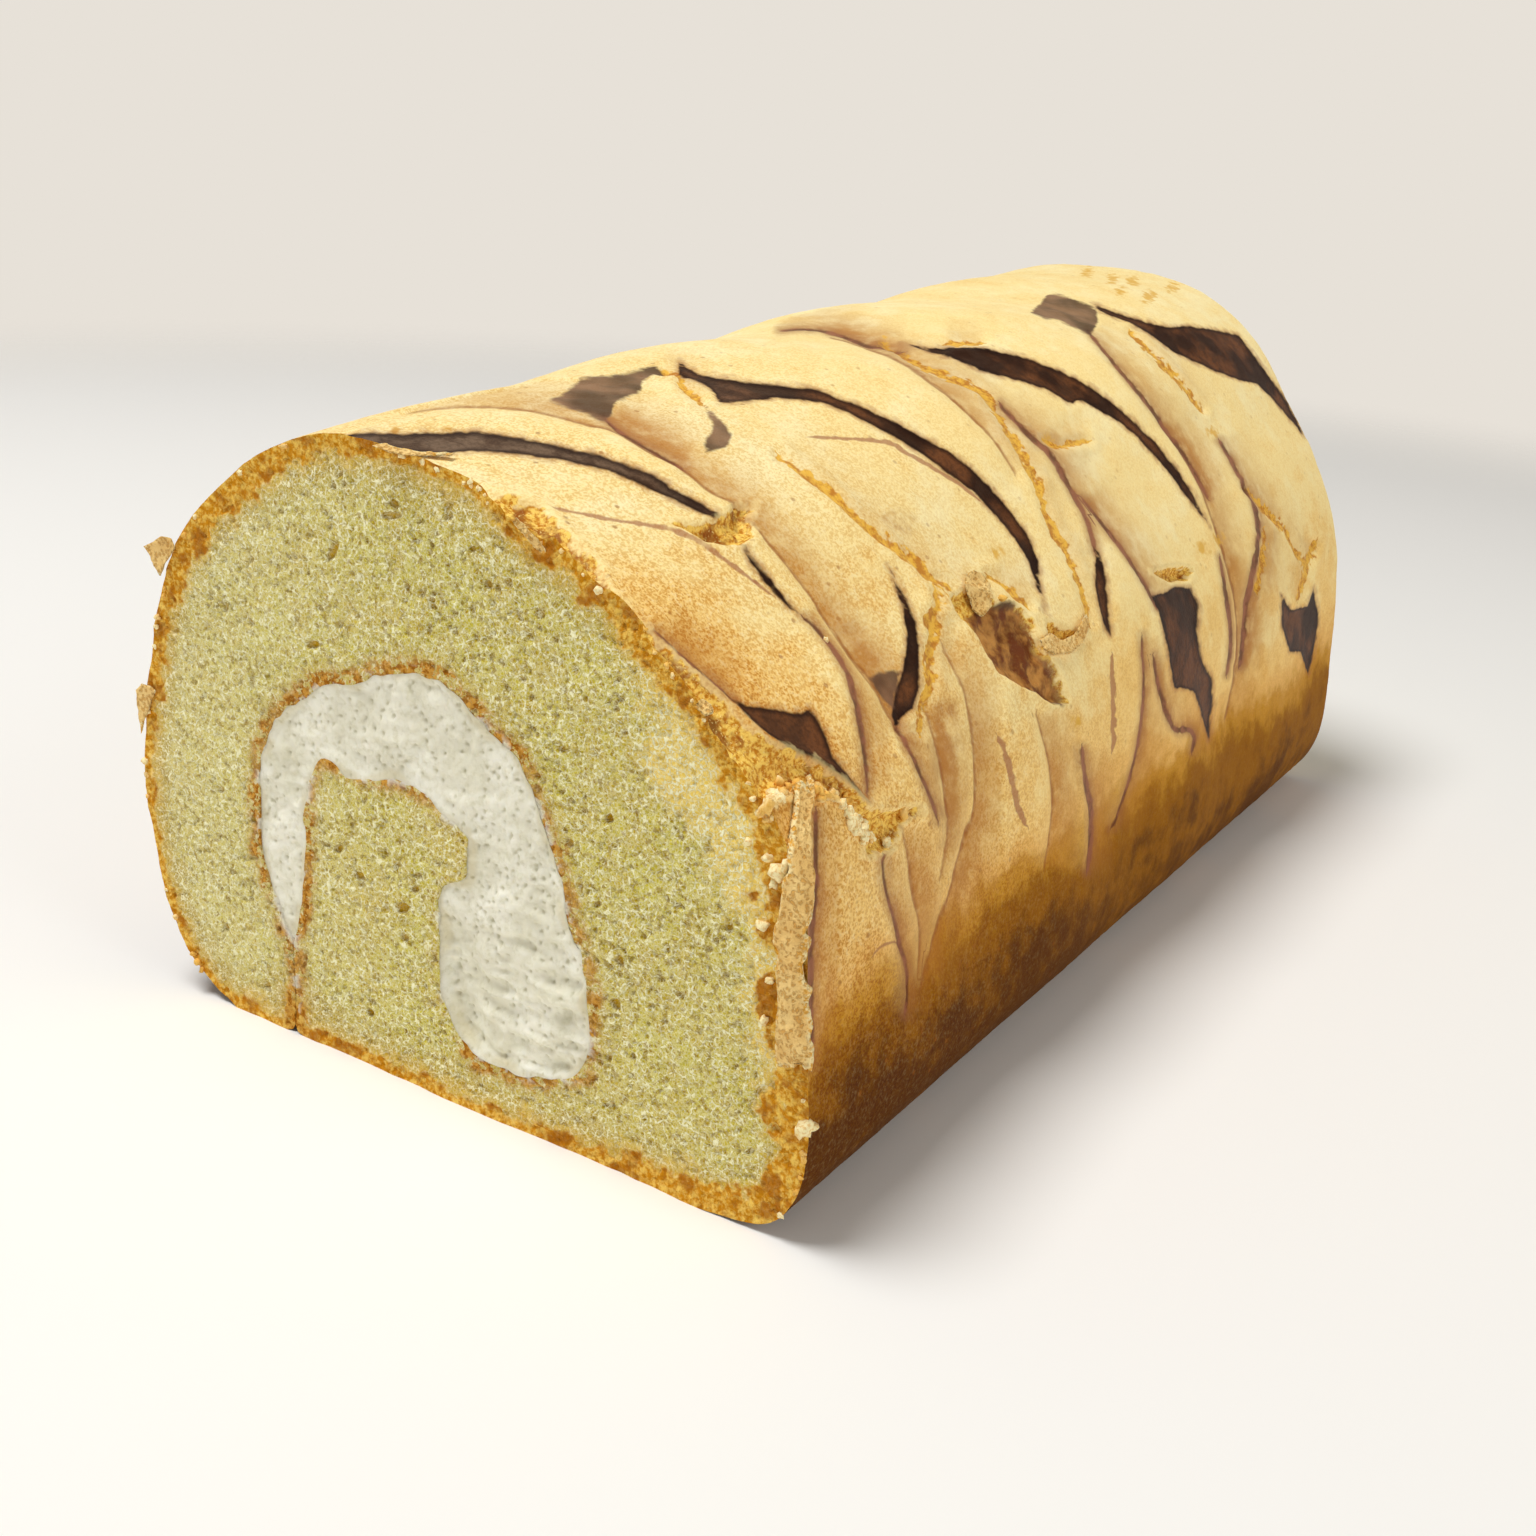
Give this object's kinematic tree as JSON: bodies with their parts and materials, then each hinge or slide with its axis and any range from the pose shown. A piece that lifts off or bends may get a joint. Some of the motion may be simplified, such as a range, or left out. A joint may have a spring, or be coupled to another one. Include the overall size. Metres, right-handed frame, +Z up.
{
  "type": "swiss roll cake",
  "caption": "Cream-filled swiss roll cake with a pale golden crust and dark chocolate streaks, cut at both ends to show its hook of cream.",
  "frame": {"origin": "middle of the footprint, on the surface the roll rests on", "axes": "+Z up, +Y along the roll away from the front cut end, +X to the right as the front cut end is seen"},
  "size_m": [0.1031, 0.191, 0.0899],
  "materials": {
    "sponge": "matt, open crumb",
    "crust": "matt baked skin with dark chocolate streaks",
    "cream": "soft satin"
  },
  "bodies": {
    "root": {"cream": "cream", "sponge": "sponge"}
  },
  "joints": []
}
